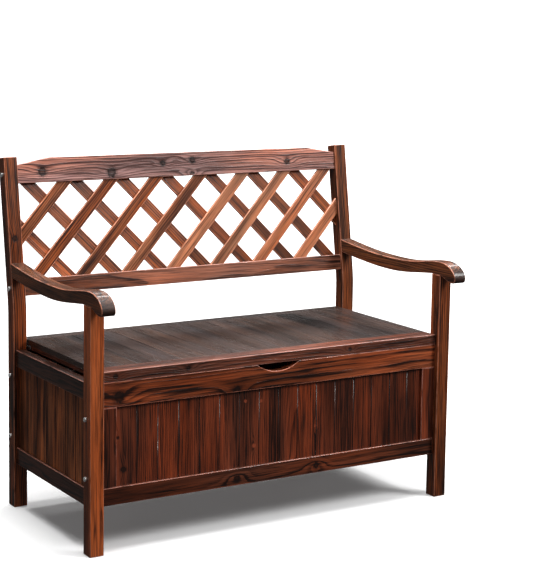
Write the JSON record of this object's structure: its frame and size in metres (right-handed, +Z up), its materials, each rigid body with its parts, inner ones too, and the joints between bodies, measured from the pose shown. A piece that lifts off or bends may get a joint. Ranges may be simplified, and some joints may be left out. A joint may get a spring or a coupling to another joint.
{
  "type": "storage bench",
  "caption": "Wooden garden bench with a raked diagonal-lattice back, curved arms and a plank-built storage box under a hinged seat lid held by a gas strut.",
  "frame": {"origin": "on the floor, under the middle of the bench's bounding box", "axes": "+X along the bench, to the right as seen from the front, +Y from front to back, +Z up"},
  "size_m": [1.072, 0.6162, 0.9183],
  "materials": {
    "frame_fir": "flamed fir, brown stain, satin varnish",
    "lattice_fir": "flamed fir, lighter red-brown, satin varnish",
    "board_fir": "flamed fir tongued boards, dark brown, satin varnish",
    "lid_fir": "flamed fir lid, grey-brown, smooth satin varnish",
    "dowel_beech": "plain beech",
    "bolt_zinc": "bright zinc plated",
    "hinge_steel": "zinc plated, slightly dull",
    "strut_grey": "silver grey paint",
    "strut_chrome": "hard chromed rod",
    "strut_plastic": "black moulded plastic"
  },
  "bodies": {
    "frame": {"arm_dowels": "dowel_beech", "arm_left": "frame_fir", "arm_right": "frame_fir", "arm_screws": "hinge_steel", "back_planks": "board_fir", "back_rail_bottom": "frame_fir", "back_rail_top": "frame_fir", "back_stile_left": "frame_fir", "back_stile_right": "frame_fir", "backrest_rail_bottom": "frame_fir", "backrest_rail_top": "frame_fir", "barrel_nuts": "bolt_zinc", "floor_boards": "board_fir", "floor_cleat_front": "board_fir", "floor_cleat_rear": "board_fir", "floor_cleat_screws": "hinge_steel", "frame_bolts": "bolt_zinc", "front_planks": "board_fir", "front_rail_bottom": "frame_fir", "front_rail_top": "frame_fir", "front_stile_left": "frame_fir", "front_stile_right": "frame_fir", "hinge_leaf_frame_left": "hinge_steel", "hinge_leaf_frame_right": "hinge_steel", "hinge_pin_left": "hinge_steel", "hinge_pin_right": "hinge_steel", "hinge_screws_frame": "hinge_steel", "lattice_front_slats": "lattice_fir", "lattice_rear_slats": "lattice_fir", "post_front_left": "frame_fir", "post_front_right": "frame_fir", "post_rear_left": "frame_fir", "post_rear_right": "frame_fir", "side_planks_left": "board_fir", "side_planks_right": "board_fir", "side_rail_bottom_left": "frame_fir", "side_rail_bottom_right": "frame_fir", "side_rail_top_left": "frame_fir", "side_rail_top_right": "frame_fir", "strut_bracket_frame": "strut_grey", "strut_bracket_screws_frame": "hinge_steel"},
    "lid": {"hinge_leaf_lid_left": "hinge_steel", "hinge_leaf_lid_right": "hinge_steel", "hinge_screws_lid": "hinge_steel", "lid_batten_left": "board_fir", "lid_batten_middle": "board_fir", "lid_batten_right": "board_fir", "lid_batten_screws": "hinge_steel", "lid_front_board": "lid_fir", "lid_planks": "lid_fir", "lid_rear_board": "lid_fir", "strut_bracket_lid": "strut_grey", "strut_bracket_screws_lid": "hinge_steel"},
    "strut_cylinder": {"strut_gland": "strut_plastic", "strut_tube": "strut_grey", "strut_tube_socket": "strut_plastic"},
    "strut_rod": {"strut_piston": "strut_plastic", "strut_rod": "strut_chrome", "strut_rod_socket": "strut_plastic"}
  },
  "joints": [
    {"name": "lid_hinge", "type": "hinge", "parent": "frame", "child": "lid", "pos_m": [0, 0.24564, 0.424], "axis": [-1, 0, 0], "range_deg": [0, 53]},
    {"name": "strut_swing", "type": "hinge", "parent": "frame", "child": "strut_cylinder", "pos_m": [-0.484, -0.06436, 0.408], "axis": [1, 0, 0], "range_deg": [0, 32.2]},
    {"name": "strut_extension", "type": "slide", "parent": "strut_cylinder", "child": "strut_rod", "axis": [0, 0.9993, -0.0363], "range_m": [0, 0.072]}
  ],
  "couplings": [
    {"joint": "strut_swing", "follows": "lid_hinge", "ratio": 0.60576},
    {"joint": "strut_extension", "follows": "lid_hinge", "m_per_rad": 0.077675}
  ]
}
